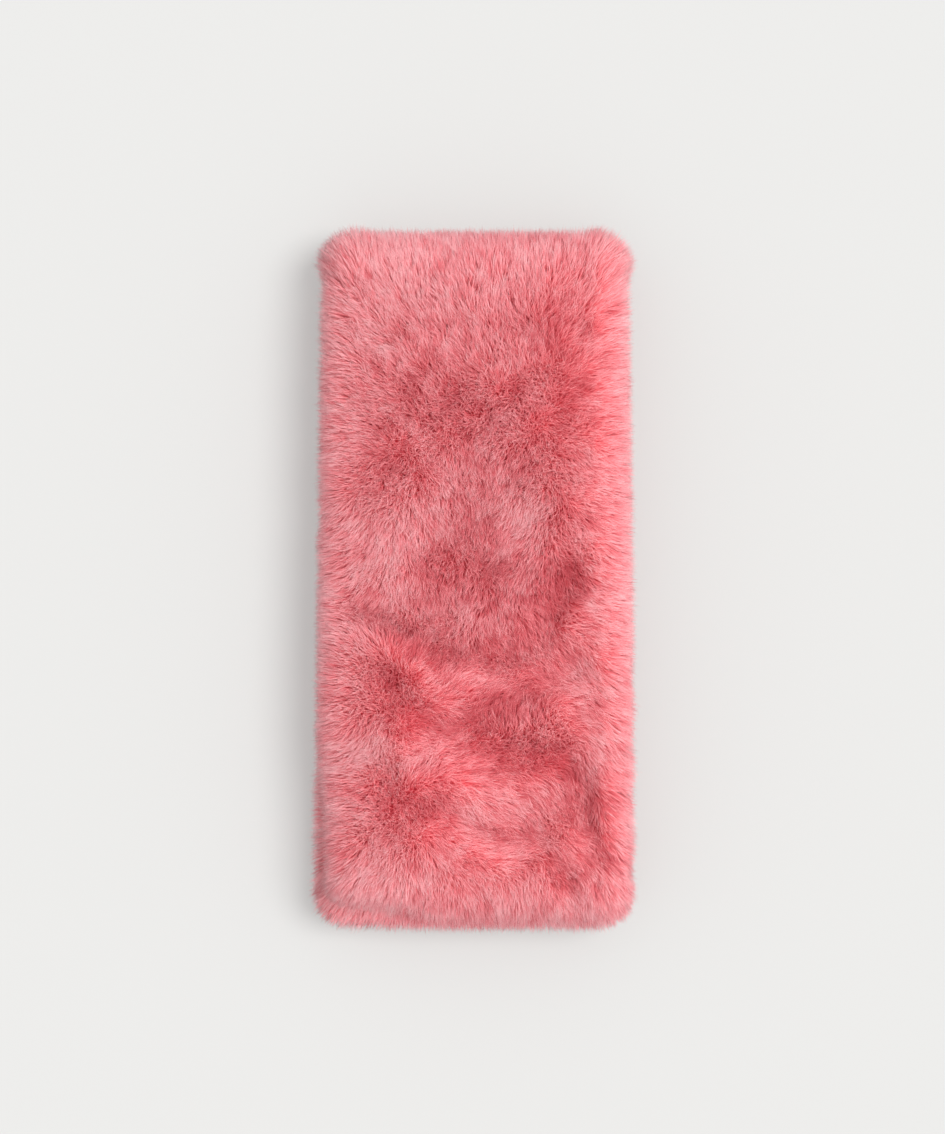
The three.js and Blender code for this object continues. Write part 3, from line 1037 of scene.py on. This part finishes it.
def make_tape_stitches(name, at, material):
    """A row of stitches across the band that holds an end of a tape, at one distance round the loop."""
    count = round(1.9 * TAPE_HALF / STITCH_PITCH)
    x = np.linspace(-0.95, 0.95, count) * TAPE_HALF
    s = np.full(count, at)
    radius = np.full(count, TAPE_RADII[0] + 0.1 * MM)
    length, width = TAPE_STITCH
    starts = place(s, x - length / 2, radius)
    ends = place(s, x + length / 2, radius)
    row = thread_mesh(name, starts, ends, towards_slot(s), width)
    row.data.materials.append(material)
    join_loop(row)


def make_label(label_material, thread_material):
    """A blank care label, sewn to the lining at its right edge, with its free end lifting a little."""
    low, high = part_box("care_label")
    across, along = 34, 14
    u, v = np.meshgrid(np.linspace(0, 1, across), np.linspace(0, 1, along), indexing="ij")
    x = high.x + (low.x - high.x) * u
    y = low.y + (high.y - low.y) * v
    lift = 0.9 * MM * u ** 2.2 + 0.12 * MM * np.sin(7 * u + 2 * v) * u
    half = 0.17 * MM
    top = np.stack([x, y, low.z + 0.02 * MM + lift + 2 * half], -1)
    bottom = np.stack([x, y, low.z + 0.02 * MM + lift], -1)
    section = np.concatenate([top, bottom[:, ::-1]], axis=1)
    label = closed_strip_mesh("blank_label", section)
    label.data.materials.append(label_material)
    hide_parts("care_label")
    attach(label, BACK)
    make_label_stitches(low, high, 2 * half, thread_material)


def make_label_stitches(low, high, thickness, material):
    """A row of stitches along the label's right edge."""
    count = 7
    length, width = LABEL_STITCH
    y = np.linspace(low.y + 1.5 * MM, high.y - 1.5 * MM, count)
    middles = np.stack([np.full(count, high.x - 2.2 * MM), y, np.full(count, low.z + thickness)], 1)
    half = np.array((0.0, length / 2, 0.0))
    upwards = np.tile((0.0, 0.0, 1.0), (count, 1))
    row = thread_mesh("label_stitches", middles - half, middles + half, upwards, width)
    row.data.materials.append(material)
    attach(row, BACK)


# ---- Stage ----

CAMERA_DISTANCE = 1.08
FRAME_HEIGHT = 0.3888         # how much of the table the picture's height takes in
VIEW_MIDDLE = (-0.0009, 0.0039)
TABLE_HALF = 1.5
SUN_HEIGHT, SUN_HEADING = math.radians(64), math.radians(14)


def make_camera():
    data = bpy.data.cameras.new("camera")
    data.sensor_width = 36
    data.sensor_fit = "AUTO"
    data.lens = 36 * CAMERA_DISTANCE / FRAME_HEIGHT
    camera = bpy.data.objects.new("camera", data)
    camera.location = (*VIEW_MIDDLE, MIDDLE + CAMERA_DISTANCE)
    bpy.context.scene.collection.objects.link(camera)
    bpy.context.scene.camera = camera


def make_lights():
    data = bpy.data.lights.new("key", "SUN")
    data.energy = 2.45
    data.angle = math.radians(30)
    data.color = (1.0, 0.995, 0.985)
    sun = bpy.data.objects.new("key", data)
    level = math.cos(SUN_HEIGHT)
    towards = Vector((math.cos(SUN_HEADING) * level, math.sin(SUN_HEADING) * level, math.sin(SUN_HEIGHT)))
    sun.rotation_euler = towards.to_track_quat("Z", "Y").to_euler()
    sun.location = towards
    bpy.context.scene.collection.objects.link(sun)
    world = bpy.data.worlds.new("studio")
    world.use_nodes = True
    background = world.node_tree.nodes["Background"]
    background.inputs["Color"].default_value = (1, 1, 1, 1)
    background.inputs["Strength"].default_value = 0.905
    bpy.context.scene.world = world
    bpy.context.scene.view_settings.view_transform = "Standard"


def make_floor():
    points = np.array([(-1, -1, 0), (1, -1, 0), (1, 1, 0), (-1, 1, 0)]) * TABLE_HALF
    floor = face_mesh("table", points, np.array([[0, 1, 2, 3]]))
    material, _, _, shader = new_material("pale_table", 0.8)
    shader.inputs["Base Color"].default_value = (0.350, 0.349, 0.344, 1)
    shader.inputs["Emission Color"].default_value = (1, 0.998, 0.985, 1)
    shader.inputs["Emission Strength"].default_value = 0.28
    floor.data.materials.append(material)


make_camera()
make_lights()
make_floor()
make_cover(backing_material())
make_pile(pile_material())
make_lining(towelling())
make_wadding(fleece())
sewing_thread, tape_cloth = thread(), twill()
make_seam("left", -1, sewing_thread)
make_seam("right", 1, sewing_thread)
for end_name, end in (("far", 1), ("near", -1)):
    make_join_stitches(end_name, end, sewing_thread)
    make_join_tape(end_name, end, tape_cloth, sewing_thread)
make_label(satin(), sewing_thread)
dress("elastic_band", webbing())
dress("far_elastic_tack", sewing_thread)
dress("near_elastic_tack", sewing_thread)
